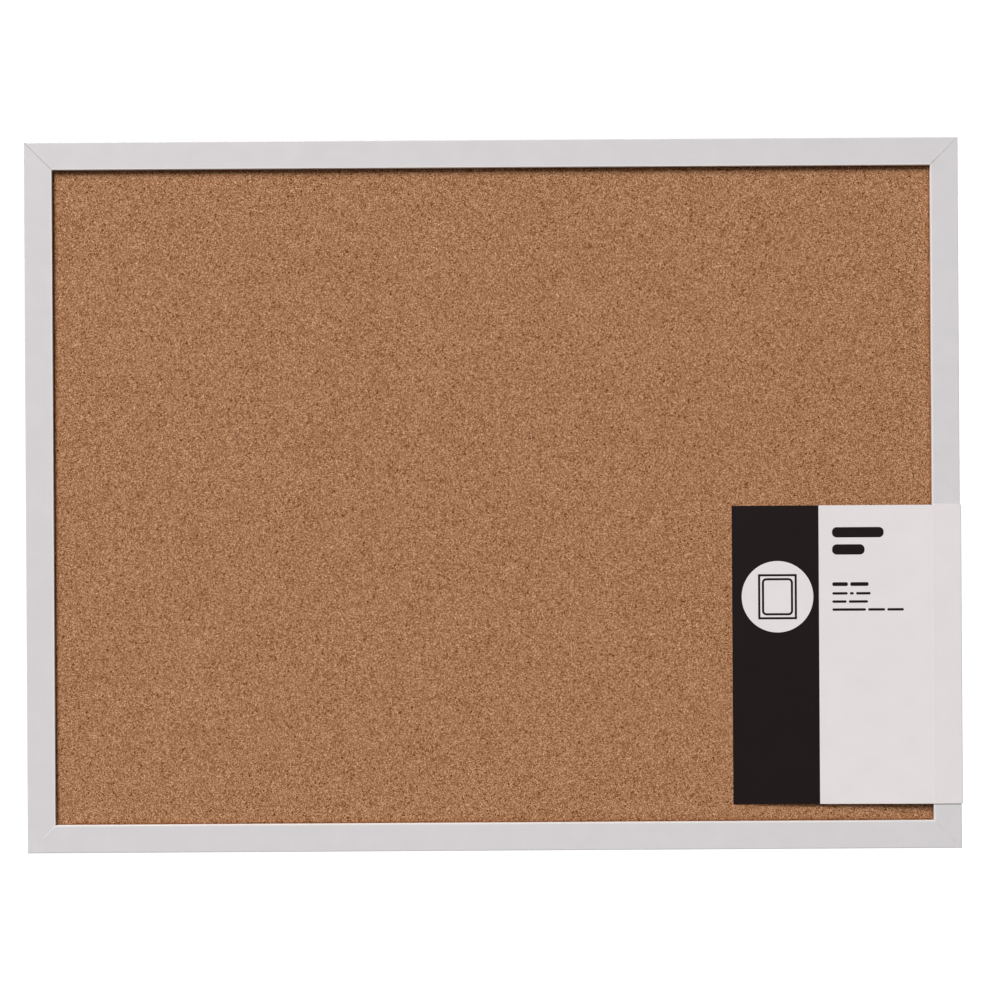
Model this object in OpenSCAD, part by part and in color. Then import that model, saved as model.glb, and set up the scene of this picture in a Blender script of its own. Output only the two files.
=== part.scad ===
// Framed cork notice board that hangs on a wall, with its folded card sleeve.
//
// Frame: X is the width, +Z is up and the cork faces -Y. The origin is the middle of the wall
// plane, where the four rear bumpers touch the wall at Y = 0.
// Four mitred hollow rails hold a three-layer panel in their groove: cork, fibre core and back
// sheet. A moulded corner key sits inside each mitre. Two strap hangers carry swinging rings,
// and the card sleeve is folded round the right-hand rail and pulls off towards +X.

/* [Board] */
// Overall width of the frame
board_w = 490; // [380:1:900]
// Overall height of the frame
board_h = 373; // [350:1:700]

/* [Frame rails] */
// Width of a rail's front face
rail_w = 14.4; // [14:0.1:20]
// Depth of a rail, front to back
rail_d = 15; // [14:0.5:20]
// Wall thickness of the hollow rail
rail_wall = 1.5; // [1.2:0.1:1.8]
// Depth of the front lip, from the face down to the cork
lip_d = 3; // [2.5:0.1:4]
// Radius along the rail's front edges
edge_r = 0.8; // [0.3:0.1:1]

/* [Panel] */
// Thickness of the cork sheet
cork_t = 2; // [1.5:0.1:3]
// Thickness of the back sheet
back_t = 2; // [1:0.1:3]

/* [Corner keys] */
// Length of each leg of a corner key
key_leg = 30; // [20:1:45]
// Thickness of a key's floor and ribs
key_rib = 1.6; // [1.2:0.1:2]

/* [Hangers] */
// Height of the ring hinges above the middle of the board
hinge_z = 120; // [60:1:125]
// Wire diameter of a hanging ring
wire_d = 2; // [1.6:0.1:2]
// Width of the strap, and of the loop that holds the ring
strap_w = 8.4; // [7:0.1:8.4]
// Thickness of the strap's sheet metal
strap_t = 0.7; // [0.5:0.1:0.8]
// Distance from the hinge down to the screw
screw_drop = 19; // [18.5:0.5:24]

/* [Bumpers] */
// Diameter of a wall bumper
bumper_d = 11; // [8:0.5:12]
// Height of a wall bumper, which is the gap between the frame and the wall
bumper_h = 5; // [4.6:0.1:7]
// Distance from the frame's side edge to the middle of a bumper
bumper_inset = 32; // [20:1:60]

/* [Card sleeve] */
// Height of the folded card sleeve
sleeve_h = 156.7; // [60:0.1:160]
// Width of the front leaf, measured from the frame's right edge
front_leaf_w = 119.6; // [60:0.1:150]
// Width of the rear leaf, measured from the frame's right edge
rear_leaf_w = 110; // [60:1:150]
// Height of the sleeve's lower edge above the frame's lower edge
sleeve_rise = 23.4; // [16:0.1:30]
// Thickness of the card
card_t = 0.45; // [0.3:0.05:0.6]

/* [Hidden] */
$fn = 64;

half_w = board_w / 2;
half_h = board_h / 2;
overcut = 1;                              // cutting shapes run past a face by this much

rear_y = -bumper_h;                       // the frame's rear plane
front_y = rear_y - rail_d;                // the frame's front face
cork_y = front_y + lip_d;                 // the cork's face
groove_d = rail_d - lip_d - rail_wall;    // space for the panel between the front and rear lips
core_t = groove_d - cork_t - back_t;

chamber_u = 9;                            // inner side of the hollow chamber, from the outer edge
panel_u = chamber_u + rail_wall;          // the panel's edge, from the outer edge
rear_lip_u = panel_u + 2.6;               // how far inwards the rear lip reaches
panel_w = board_w - 2 * panel_u;
panel_h = board_h - 2 * panel_u;

key_play = 0.15;                          // gap between a key and the chamber walls
key_u = rail_wall + key_play;             // the key's outer side, from the outer edge
key_w = chamber_u - rail_wall - 2 * key_play;
key_d = rail_d - 2 * rail_wall - 2 * key_play;
key_bays = 3;                             // pockets along each leg

wire_r = wire_d / 2;
hinge_play = 0.05;                        // radial running clearance of the ring in its loop
loop_bore_r = wire_r + hinge_play;
loop_r = loop_bore_r + strap_t;
ring_gap = 0.4;                           // between the hanging ring and the strap
hinge_y = rear_y + strap_t + ring_gap + wire_r;
hanger_x = half_w - 7.2;                  // middle of the side rails' rear face
ring_bend_r = 1.6;                        // centreline radius at the two corners of the ring
ring_half_w = 6;                          // centreline half width of the ring
ring_leg = 5.4;                           // straight length of a leg below its corner bend
screw_hole_r = 1.7;
screw_shank_r = 1.5;
screw_head_r = 3;
screw_head_h = 1.8;
screw_length = 9;
recess_w = 0.8;                           // width of a slot of the screw's cross recess
recess_l = 3.2;
recess_d = 0.9;

bumper_round = 1.5;                       // radius round a bumper's wall side
bumper_z = half_h - 7.2;                  // middle of the top and bottom rails' rear face

card_gap = 0.15;                          // between the card and the rail
fold_r = card_gap + card_t;               // outside radius of each fold
sleeve_z = -half_h + sleeve_rise;

// Cuts a sharp 90 degree corner at the origin down to a round one. It opens towards +x and +y.
module corner_round(r) {
    difference() {
        translate([-overcut, -overcut]) square(r + overcut);
        translate([r, r]) circle(r);
        translate([r, -overcut]) square([overcut, r + 2 * overcut]);
        translate([-overcut, r]) square([r + 2 * overcut, overcut]);
    }
}

// Section of a rail. x runs from the front face to the rear, y from the outer edge inwards.
module rail_section() {
    difference() {
        union() {
            square([rail_d, panel_u]);
            square([rail_wall, rail_w]);
            translate([0, rail_w - rail_wall]) square([lip_d, rail_wall]);
            translate([rail_d - rail_wall, 0]) square([rail_wall, rear_lip_u]);
        }
        translate([rail_wall, rail_wall])
            square([rail_d - 2 * rail_wall, chamber_u - rail_wall]);
        corner_round(edge_r);
        translate([0, rail_w]) mirror([0, 1]) corner_round(edge_r);
    }
}

// A rail along X with its outer edge at z = 0, its front face at y = 0 and 45 degree ends.
module mitred_rail(length) {
    intersection() {
        translate([-length / 2, 0, 0])
            rotate([90, 0, 90])
                linear_extrude(length) rail_section();
        translate([0, rail_d + overcut, 0])
            rotate([90, 0, 0])
                linear_extrude(rail_d + 2 * overcut)
                    polygon([
                        [-length / 2, 0], [length / 2, 0],
                        [length / 2 - rail_w, rail_w], [rail_w - length / 2, rail_w]
                    ]);
    }
}

// Stands a rail on one side of the frame. turn 0 is the bottom, 90 the left, 180 the top.
module frame_rail(length, offset, turn) {
    color([0.83, 0.82, 0.83])
        rotate([0, turn, 0])
            translate([0, front_y, -offset])
                mitred_rail(length);
}

module frame_rail_top() {
    frame_rail(board_w, half_h, 180);
}

module frame_rail_bottom() {
    frame_rail(board_w, half_h, 0);
}

// The hanger's screw goes into a side rail through a hole of the same size.
module hanger_screw_hole() {
    translate([0, rear_y - rail_wall - overcut / 2, hinge_z - screw_drop])
        rotate([-90, 0, 0])
            cylinder(r = screw_shank_r, h = rail_wall + overcut);
}

module frame_rail_left() {
    difference() {
        frame_rail(board_h, half_w, 90);
        translate([-hanger_x, 0, 0]) hanger_screw_hole();
    }
}

module frame_rail_right() {
    difference() {
        frame_rail(board_h, half_w, -90);
        translate([hanger_x, 0, 0]) hanger_screw_hole();
    }
}

// One leg of a corner key along +X: a tray with cross ribs, open towards the rear.
module key_leg_tray() {
    bay = (key_leg - key_w - key_rib) / key_bays;
    difference() {
        cube([key_leg, key_d, key_w]);
        for (i = [0 : key_bays - 1])
            translate([key_w + i * bay, key_rib, key_rib])
                cube([bay - key_rib, key_d, key_w - 2 * key_rib]);
    }
}

// The bottom-left key. The others are this one turned over.
module corner_key() {
    color([0.35, 0.36, 0.38])
        translate([-half_w + key_u, front_y + rail_wall + key_play, -half_h + key_u])
            union() {
                key_leg_tray();
                translate([key_w, 0, 0]) rotate([0, -90, 0]) key_leg_tray();
            }
}

module corner_key_bottom_left() {
    corner_key();
}

module corner_key_bottom_right() {
    mirror([1, 0, 0]) corner_key();
}

module corner_key_top_left() {
    mirror([0, 0, 1]) corner_key();
}

module corner_key_top_right() {
    rotate([0, 180, 0]) corner_key();
}

// A layer of the panel whose front is at y.
module panel_layer(y, thickness) {
    translate([-panel_w / 2, y, -panel_h / 2]) cube([panel_w, thickness, panel_h]);
}

module cork_sheet() {
    color([0.64, 0.46, 0.34]) panel_layer(cork_y, cork_t);
}

module fibre_core() {
    color([0.55, 0.50, 0.44]) panel_layer(cork_y + cork_t, core_t);
}

module back_sheet() {
    color([0.50, 0.38, 0.27]) panel_layer(cork_y + cork_t + core_t, back_t);
}

// A strap with a rolled loop at the hinge and a rounded end round its screw hole.
module hanger_strap(x) {
    color([0.72, 0.72, 0.74])
        translate([x, 0, hinge_z])
            difference() {
                union() {
                    translate([-strap_w / 2, rear_y, -screw_drop]) cube([strap_w, strap_t, screw_drop]);
                    translate([0, rear_y, -screw_drop])
                        rotate([-90, 0, 0]) cylinder(d = strap_w, h = strap_t);
                    translate([-strap_w / 2, hinge_y, 0])
                        rotate([0, 90, 0]) cylinder(r = loop_r, h = strap_w);
                }
                translate([-strap_w / 2 - overcut, hinge_y, 0])
                    rotate([0, 90, 0]) cylinder(r = loop_bore_r, h = strap_w + 2 * overcut);
                translate([0, rear_y - overcut, -screw_drop])
                    rotate([-90, 0, 0]) cylinder(r = screw_hole_r, h = strap_t + 2 * overcut);
            }
}

module hanger_strap_left() {
    hanger_strap(-hanger_x);
}

module hanger_strap_right() {
    hanger_strap(hanger_x);
}

// A bent stretch of wire in the XZ plane, from angle start over a sweep, about the origin.
module wire_bend(radius, start, sweep) {
    rotate([90, 0, 0])
        rotate([0, 0, start])
            rotate_extrude(angle = sweep) translate([radius, 0]) circle(wire_r);
}

// A D-shaped ring of wire that hangs from its straight bar. The bar is the hinge.
module hanger_ring(x) {
    bar = ring_half_w - ring_bend_r;
    color([0.75, 0.75, 0.77])
        translate([x, hinge_y, hinge_z])
            union() {
                translate([-bar, 0, 0]) rotate([0, 90, 0]) cylinder(r = wire_r, h = 2 * bar);
                translate([-bar, 0, -ring_bend_r]) wire_bend(ring_bend_r, 90, 90);
                translate([bar, 0, -ring_bend_r]) wire_bend(ring_bend_r, 0, 90);
                for (side = [-1, 1])
                    translate([side * ring_half_w, 0, -ring_bend_r - ring_leg])
                        cylinder(r = wire_r, h = ring_leg);
                translate([0, 0, -ring_bend_r - ring_leg]) wire_bend(ring_half_w, 180, 180);
            }
}

module hanger_ring_left() {
    hanger_ring(-hanger_x);
}

module hanger_ring_right() {
    hanger_ring(hanger_x);
}

// Half section of a pan head: flat underneath, rounded over, flat on top.
module pan_head_section() {
    round_r = screw_head_h * 0.7;
    union() {
        square([screw_head_r, screw_head_h - round_r]);
        square([screw_head_r - round_r, screw_head_h]);
        intersection() {
            translate([screw_head_r - round_r, screw_head_h - round_r]) circle(round_r);
            square([screw_head_r, screw_head_h]);
        }
    }
}

// Pan-head screw with a cross recess. Its shank runs through the strap into the side rail.
module hanger_screw(x) {
    color([0.62, 0.62, 0.64])
        translate([x, rear_y + strap_t, hinge_z - screw_drop])
            rotate([-90, 0, 0])
                difference() {
                    union() {
                        rotate_extrude() pan_head_section();
                        translate([0, 0, -screw_length]) cylinder(r = screw_shank_r, h = screw_length);
                    }
                    for (turn = [0, 90])
                        rotate([0, 0, turn])
                            translate([-recess_l / 2, -recess_w / 2, screw_head_h - recess_d])
                                cube([recess_l, recess_w, recess_d + overcut]);
                }
}

module hanger_screw_left() {
    hanger_screw(-hanger_x);
}

module hanger_screw_right() {
    hanger_screw(hanger_x);
}

// A round rubber bumper. Its wall side is flat inside a rounded rim.
module wall_bumper(x, z) {
    r = bumper_d / 2;
    color([0.88, 0.88, 0.86])
        translate([x, rear_y, z])
            rotate([-90, 0, 0])
                rotate_extrude()
                    union() {
                        square([r, bumper_h - bumper_round]);
                        square([r - bumper_round, bumper_h]);
                        translate([r - bumper_round, bumper_h - bumper_round])
                            intersection() {
                                circle(bumper_round);
                                square(bumper_round);
                            }
                    }
}

module wall_bumper_top_left() {
    wall_bumper(bumper_inset - half_w, bumper_z);
}

module wall_bumper_top_right() {
    wall_bumper(half_w - bumper_inset, bumper_z);
}

module wall_bumper_bottom_left() {
    wall_bumper(bumper_inset - half_w, -bumper_z);
}

module wall_bumper_bottom_right() {
    wall_bumper(half_w - bumper_inset, -bumper_z);
}

// A quarter ring of card round a rail's outer edge. It opens towards +x and +y.
module card_fold() {
    intersection() {
        difference() {
            circle(fold_r);
            circle(card_gap);
        }
        square(fold_r);
    }
}

// Plan of the folded card. x is the board's X, y its Y. Each fold turns about a rail edge.
module sleeve_plan() {
    translate([half_w - front_leaf_w, front_y - fold_r]) square([front_leaf_w, card_t]);
    translate([half_w - rear_leaf_w, rear_y + card_gap]) square([rear_leaf_w, card_t]);
    translate([half_w + card_gap, front_y]) square([card_t, rail_d]);
    translate([half_w, front_y]) mirror([0, 1]) card_fold();
    translate([half_w, rear_y]) card_fold();
}

// One piece of card: a front leaf, a spine along the right rail's side and a rear leaf.
module card_sleeve() {
    color([0.90, 0.88, 0.87])
        translate([0, 0, sleeve_z])
            linear_extrude(sleeve_h) sleeve_plan();
}

frame_rail_top();
frame_rail_bottom();
frame_rail_left();
frame_rail_right();
corner_key_top_left();
corner_key_top_right();
corner_key_bottom_left();
corner_key_bottom_right();
cork_sheet();
fibre_core();
back_sheet();
hanger_strap_left();
hanger_strap_right();
hanger_ring_left();
hanger_ring_right();
hanger_screw_left();
hanger_screw_right();
wall_bumper_top_left();
wall_bumper_top_right();
wall_bumper_bottom_left();
wall_bumper_bottom_right();
card_sleeve();
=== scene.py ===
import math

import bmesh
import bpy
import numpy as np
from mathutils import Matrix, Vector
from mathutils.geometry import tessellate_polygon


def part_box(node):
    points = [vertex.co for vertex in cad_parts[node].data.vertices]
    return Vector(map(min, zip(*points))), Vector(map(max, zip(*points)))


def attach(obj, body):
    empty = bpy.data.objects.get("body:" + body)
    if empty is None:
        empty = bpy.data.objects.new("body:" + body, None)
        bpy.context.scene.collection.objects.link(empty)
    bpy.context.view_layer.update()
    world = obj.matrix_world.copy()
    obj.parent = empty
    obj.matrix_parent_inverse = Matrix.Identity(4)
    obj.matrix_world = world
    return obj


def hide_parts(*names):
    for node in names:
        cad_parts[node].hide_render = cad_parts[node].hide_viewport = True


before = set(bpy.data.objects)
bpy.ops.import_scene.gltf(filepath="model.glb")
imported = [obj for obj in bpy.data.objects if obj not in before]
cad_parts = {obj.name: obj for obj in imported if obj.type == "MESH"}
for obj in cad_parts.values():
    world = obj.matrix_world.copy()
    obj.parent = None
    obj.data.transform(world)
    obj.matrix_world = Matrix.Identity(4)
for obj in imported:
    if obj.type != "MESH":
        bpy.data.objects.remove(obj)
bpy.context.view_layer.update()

# %% [markdown]
# # A framed cork notice board
# The real board is an assembly: four hollow plastic rails mitred at the corners, a panel of cork,
# fibre core and hardboard in their groove, a moulded key inside each mitre, two strap hangers with
# swinging rings, four rubber bumpers, and a printed card sleeve folded round the right-hand rail.
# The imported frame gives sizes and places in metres: X is the width, +Z is up, the cork faces -Y,
# and Y = 0 is the wall. The lesson works most visible pieces out again as surfaces, and gives
# every piece the finish of its material.

MM = 0.001

# %% [markdown]
# ## Sizes
# Nothing is typed in that the frame already knows. The top rail's box gives the outer edge, the
# front face and the rail's width, and the panel's layers give the groove. What no box holds, such
# as a corner radius, is a named value next to the piece that needs it.

# %% Read the driving sizes
rail_lo, rail_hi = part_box("frame_rail_top")
cork_lo, cork_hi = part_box("cork_sheet")
back_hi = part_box("back_sheet")[1]
half_w = rail_hi.x
half_h = rail_hi.z
rail_w = rail_hi.z - rail_lo.z
front_y = rail_lo.y
rear_y = rail_hi.y
rail_d = rear_y - front_y
cork_y = cork_lo.y
lip_d = cork_y - front_y
panel_u = half_w - cork_hi.x
wall = rear_y - back_hi.y
print("rail", round(rail_w / MM, 2), "x", round(rail_d / MM, 2), "lip", round(lip_d / MM, 2))

# %% [markdown]
# ## Camera
# A flat product is shown straight on. A long lens keeps the rails parallel, and its distance comes
# from the width that the board takes in the picture. The camera stands a few millimetres off the
# middle and leans by a third of a degree, as a hand-set camera does, so no lens shift is needed.

# %% Set up the camera
lens = 90.0
sensor = 36.0
board_share = 0.9343
board_off_x = -0.0072
board_off_z = 0.0049
lean = math.radians(0.346)

picture_w = 2 * half_w / board_share
distance = picture_w * lens / sensor
camera = bpy.data.objects.new("camera", bpy.data.cameras.new("camera"))
bpy.context.scene.collection.objects.link(camera)
camera.data.lens = lens
camera.data.sensor_width = sensor
camera.data.clip_start = 0.05
camera.location = (-board_off_x * picture_w, front_y - distance, -board_off_z * picture_w)
upright = Matrix.Rotation(math.radians(90), 4, "X")
camera.rotation_euler = (upright @ Matrix.Rotation(-lean, 4, "Z")).to_euler()
bpy.context.scene.camera = camera
print("camera", round(distance, 3), "m in front of the frame")

# %% [markdown]
# ## Studio
# One tall soft key light stands high on the left, far enough away to be even over the board and
# large enough to soften the edge of the lip's shadow. A dim surround fills the shadows, and it
# is white where the camera looks straight at it. Two lamps behind the board light its back, so
# the hidden side can be judged too. The pale floor lies well below the board.

# %% Hang the lights
bpy.context.scene.view_settings.view_transform = "Standard"


def soft_lamp(name, position, width, height, power):
    """A rectangular area lamp that looks at the middle of the board."""
    lamp = bpy.data.lights.new(name, "AREA")
    lamp.shape = "RECTANGLE"
    lamp.size = width
    lamp.size_y = height
    lamp.energy = power
    holder = bpy.data.objects.new(name, lamp)
    bpy.context.scene.collection.objects.link(holder)
    holder.location = position
    holder.rotation_euler = (-Vector(position)).to_track_quat("-Z", "Y").to_euler()


key_distance = 9.0
key_direction = Vector((-0.45, -1.0, 1.02)).normalized()
rear_size = 1.6
soft_lamp("key_lamp", key_direction * key_distance, width=3.2, height=4.6, power=1027)
soft_lamp("rear_lamp", (-1.8, 2.6, 1.3), rear_size, rear_size, power=83)
soft_lamp("rear_side_lamp", (2.6, 1.4, 0.8), rear_size, rear_size, power=70)

# %% Surround the board with a dim white
fill_level = 0.06
white_level = 1.1
world = bpy.data.worlds.new("studio")
bpy.context.scene.world = world
world.use_nodes = True
sky = world.node_tree
sky.nodes.clear()


def white_surround(strength):
    """An even white background of this strength."""
    node = sky.nodes.new("ShaderNodeBackground")
    node.inputs["Color"].default_value = (1, 1, 1, 1)
    node.inputs["Strength"].default_value = strength
    return node.outputs["Background"]


ray = sky.nodes.new("ShaderNodeLightPath")
choose = sky.nodes.new("ShaderNodeMixShader")
sky_out = sky.nodes.new("ShaderNodeOutputWorld")
sky.links.new(ray.outputs["Is Camera Ray"], choose.inputs["Fac"])
sky.links.new(white_surround(fill_level), choose.inputs[1])
sky.links.new(white_surround(white_level), choose.inputs[2])
sky.links.new(choose.outputs["Shader"], sky_out.inputs["Surface"])
print("surround:", fill_level, "for the light,", white_level, "for the camera")

# %% Lay the floor
floor_drop = 0.95
floor_r = 1.0
floor_sides = 96
turn = np.linspace(0, 2 * math.pi, floor_sides, endpoint=False)
rim_x = floor_r * np.cos(turn)
rim_y = floor_r * np.sin(turn)
rim = np.stack([rim_x, rim_y, np.full(floor_sides, -floor_drop)], -1)
floor_mesh = bpy.data.meshes.new("floor")
floor_mesh.from_pydata(rim.tolist(), [], [list(range(floor_sides))])
floor = bpy.data.objects.new("floor", floor_mesh)
bpy.context.scene.collection.objects.link(floor)
print("floor:", floor_drop, "m below the middle of the board")

# %% [markdown]
# ## Helpers for surfaces
# Every new piece is a grid: one number runs along it and one runs round it. A grid that wraps
# closes on itself, and what stays open gets an end face. The mesh is then welded and its faces
# are turned outwards, so that the piece is one closed solid.

# %% Turn grids into closed pieces


def grid_cells(rows, columns, wrap_rows=False, wrap_columns=False, start=0):
    """Corner numbers of a grid's cells: (i, j), (i+1, j), (i+1, j+1), (i, j+1)."""
    i = np.arange(rows if wrap_rows else rows - 1)[:, None]
    j = np.arange(columns if wrap_columns else columns - 1)[None, :]
    i_next = (i + 1) % rows
    j_next = (j + 1) % columns
    corners = [
        i * columns + j,
        i_next * columns + j,
        i_next * columns + j_next,
        i * columns + j_next,
    ]
    return (np.stack(corners, -1).reshape(-1, 4) + start).tolist()


print("cells between 3 by 4 points:", len(grid_cells(3, 4)))

# %% Make a piece that rides on a body


def make_piece(name, points, faces, body, replaced=(), crease=35):
    """Welds the points, turns the faces outwards, smooths below the crease angle, and rides."""
    mesh = bpy.data.meshes.new(name)
    mesh.from_pydata(np.asarray(points, float).reshape(-1, 3).tolist(), [], faces)
    shell = bmesh.new()
    shell.from_mesh(mesh)
    bmesh.ops.remove_doubles(shell, verts=shell.verts, dist=1e-7)
    bmesh.ops.recalc_face_normals(shell, faces=shell.faces)
    shell.to_mesh(mesh)
    shell.free()
    mesh.shade_smooth()
    mesh.set_sharp_from_angle(angle=math.radians(crease))
    piece = bpy.data.objects.new(name, mesh)
    bpy.context.scene.collection.objects.link(piece)
    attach(piece, body)
    if replaced:
        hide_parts(*replaced)
    return piece


# %% [markdown]
# ## Helper for outlines
# Extruded, folded and printed parts all start from a flat outline with rounded corners. Each
# corner is cut back by the tangent length r / tan(half the corner's angle) on both sides and
# joined by an arc. A short lead before and after each arc keeps the flat sides' shading flat.

# %% Round the corners of an outline
LEAD = 0.12 * MM


def unit(v):
    return v / np.linalg.norm(v)


def rounded_outline(corners, radii, steps=6, lead=LEAD):
    """Closed outline: at each corner an arc of its radius about the point on the bisector."""
    corners = np.asarray(corners, float)
    outline = []
    for before, corner, after, r in zip(
        np.roll(corners, 1, 0), corners, np.roll(corners, -1, 0), radii
    ):
        if r == 0:
            outline.append(corner[None])
            continue
        to_before = unit(before - corner)
        to_after = unit(after - corner)
        half = math.acos(np.clip(to_before @ to_after, -1, 1)) / 2
        cut = r / math.tan(half)
        centre = corner + unit(to_before + to_after) * r / math.sin(half)
        first = corner + to_before * cut - centre
        last = corner + to_after * cut - centre
        start = math.atan2(first[1], first[0])
        sweep = math.atan2(last[1], last[0]) - start
        sweep = (sweep + math.pi) % (2 * math.pi) - math.pi
        angle = start + sweep * np.linspace(0, 1, steps + 1)
        arc = centre + r * np.stack([np.cos(angle), np.sin(angle)], -1)
        outline.append(np.concatenate([
            arc[:1] + to_before * lead, arc, arc[-1:] + to_after * lead
        ]))
    return np.concatenate(outline)


unit_square = [(0, 0), (1, 0), (1, 1), (0, 1)]
print("a rounded square has", len(rounded_outline(unit_square, [0.2] * 4)), "points")

# %% [markdown]
# ## Helpers for finishes
# A finish is a small node tree. It reads Object coordinates in metres, so a scale of 1000 has
# features about a millimetre wide, and the pattern stays put when the piece moves. A number that
# is the same all over goes straight on the shader's own socket.

# %% Build node trees


class Finish:
    """A material under construction: its tree, its shader and short ways to add nodes."""

    def __init__(self, name, roughness, metallic=0.0, specular=0.5):
        self.material = bpy.data.materials.new(name)
        self.material.use_nodes = True
        self.tree = self.material.node_tree
        self.shader = self.tree.nodes["Principled BSDF"]
        self.shader.inputs["Roughness"].default_value = roughness
        self.shader.inputs["Metallic"].default_value = metallic
        self.shader.inputs["Specular IOR Level"].default_value = specular
        self.place = self.add("ShaderNodeTexCoord").outputs["Object"]

    def add(self, kind, links=None, options=None, **sockets):
        """Adds a node; options are its settings, links and sockets its inputs by name."""
        node = self.tree.nodes.new(kind)
        for key, value in (options or {}).items():
            setattr(node, key, value)
        for key, value in sockets.items():
            node.inputs[key].default_value = value
        for key, source in (links or {}).items():
            self.tree.links.new(source, node.inputs[key])
        return node

    def noise(self, scale, detail=2.0, roughness=0.5, place=None):
        """Smooth noise, 0 to 1, with about scale features in a metre."""
        node = self.add(
            "ShaderNodeTexNoise",
            {"Vector": place or self.place},
            Scale=scale, Detail=detail, Roughness=roughness,
        )
        return node.outputs["Fac"]

    def math(self, operation, *values):
        """One arithmetic step; each value is a socket or a number."""
        node = self.tree.nodes.new("ShaderNodeMath")
        node.operation = operation
        for socket, value in zip(node.inputs, values):
            if isinstance(value, (int, float)):
                socket.default_value = value
            else:
                self.tree.links.new(value, socket)
        return node.outputs[0]

    def mix(self, first, second, share):
        """A share of the first factor and the rest of the second."""
        rest = self.math("MULTIPLY", second, 1 - share)
        return self.math("MULTIPLY_ADD", first, share, rest)

    def ramp(self, factor, stops):
        """Colours picked along a factor from (place, red, green, blue) stops, linear light."""
        node = self.add("ShaderNodeValToRGB", {"Fac": factor})
        elements = node.color_ramp.elements
        while len(elements) < len(stops):
            elements.new(0.5)
        for element, (place, *rgb) in zip(elements, stops):
            element.position = place
            element.color = (*rgb, 1)
        return node.outputs["Color"]

    def outside_box(self, half_x, half_z):
        """How far a point is outside a centred box seen from the front; negative inside it."""
        axes = self.add("ShaderNodeSeparateXYZ", {"Vector": self.place})
        out_x = self.math("SUBTRACT", self.math("ABSOLUTE", axes.outputs["X"]), half_x)
        out_z = self.math("SUBTRACT", self.math("ABSOLUTE", axes.outputs["Z"]), half_z)
        return self.math("MAXIMUM", out_x, out_z)

    def blend(self, factor, first, second):
        """The first colour socket, giving way to the second colour as the factor goes to 1."""
        node = self.add("ShaderNodeMixRGB", {"Fac": factor, "Color1": first})
        node.inputs["Color2"].default_value = (*second, 1)
        return node.outputs["Color"]

    def colour(self, socket):
        self.tree.links.new(socket, self.shader.inputs["Base Color"])

    def roughen(self, factor, low, high):
        """Roughness from low to high as the factor goes from 0 to 1."""
        node = self.add("ShaderNodeMapRange", {"Value": factor}, **{"To Min": low, "To Max": high})
        self.tree.links.new(node.outputs["Result"], self.shader.inputs["Roughness"])

    def bump(self, height, depth, strength=1.0):
        """Bumps whose full height is depth in metres."""
        node = self.add("ShaderNodeBump", {"Height": height}, Strength=strength, Distance=depth)
        self.tree.links.new(node.outputs["Normal"], self.shader.inputs["Normal"])


# %% Shade a colour and coat a piece


def shade(rgb, by):
    """The same hue, lighter or darker by a factor."""
    return tuple(c * by for c in rgb)


def coat(pieces, finish):
    """Gives the pieces this finish as their only material."""
    for piece in pieces:
        piece.data.materials.clear()
        piece.data.materials.append(finish.material)


print("mid grey, a tenth lighter:", shade((0.5, 0.5, 0.5), 1.1))

# %% [markdown]
# ## Floor finish
# The studio floor is matt and pale. A slow change of tone keeps it from looking cut out.

# %% Paint the floor
FLOOR_GREYS = [(0.3, 0.60, 0.60, 0.60), (0.7, 0.64, 0.64, 0.64)]
floor_finish = Finish("floor_paint", 0.9, specular=0.1)
floor_finish.colour(floor_finish.ramp(floor_finish.noise(2.0), FLOOR_GREYS))
coat([floor], floor_finish)
print("floor greys:", FLOOR_GREYS)

# %% [markdown]
# ## Frame rails
# Each rail is an extruded hollow plastic profile, cut at 45 degrees. It could be a cube with loop
# cuts, but the profile is the real thing: one outline for the outside, one for the chamber, both
# carried along the rail. The cut is a formula: a point at distance u from the outer edge ends u
# short of the corner. No saw leaves a perfect joint, so an end may fall short by a hair, and each
# sawn edge is broken by a tiny chamfer. These give the fine line where two rails meet: dark where
# there is a gap or a groove, and light where a chamfer stands free and faces the key light. For
# that, the left rail's lip is twisted in by a third of a millimetre at its lower end. The lip
# swells a little past the rail's nominal width as it leaves the die.

# %% Draw the rail's section
FRONT_ROUND = 0.5 * MM
LIP_ROUND = 0.35 * MM
SMALL_ROUND = 0.3 * MM
REAR_LIP = 2.6 * MM
SWELL = 0.2 * MM
chamber_u = panel_u - wall
nose_u = rail_w - wall
lip_u = rail_w + SWELL
groove_end = rail_d - wall
rear_lip_u = panel_u + REAR_LIP
opening_x = half_w - rail_w
opening_z = half_h - rail_w

rail_outline = rounded_outline(
    [
        (0, 0), (lip_u, 0), (lip_u, lip_d), (nose_u, lip_d), (nose_u, wall),
        (panel_u, wall), (panel_u, groove_end), (rear_lip_u, groove_end),
        (rear_lip_u, rail_d), (0, rail_d),
    ],
    [
        FRONT_ROUND, LIP_ROUND, SMALL_ROUND, SMALL_ROUND, 0,
        0, 0, SMALL_ROUND,
        SMALL_ROUND, SMALL_ROUND,
    ],
)
chamber_outline = np.array(
    [(wall, wall), (chamber_u, wall), (chamber_u, groove_end), (wall, groove_end)]
)
print("rail outline:", len(rail_outline), "points")

# %% Set how each corner is sawn
# For each corner: how far each rail stops short, and how deep the sawn edge of the level and of
# the upright rail is broken. Each pair is the value at the frame's outer and at its inner edge.
EVEN = (0.12, 0.12)
MITRES = {
    "top_left": {"short": (0.06, 0.06), "level": EVEN, "upright": EVEN},
    "top_right": {"short": (0.02, 0.10), "level": EVEN, "upright": EVEN},
    "bottom_left": {"short": (0.0, 0.0), "level": (0.12, 0.36), "upright": (0.04, 0.04)},
    "bottom_right": {"short": (0.0, 0.01), "level": EVEN, "upright": EVEN},
}


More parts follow.
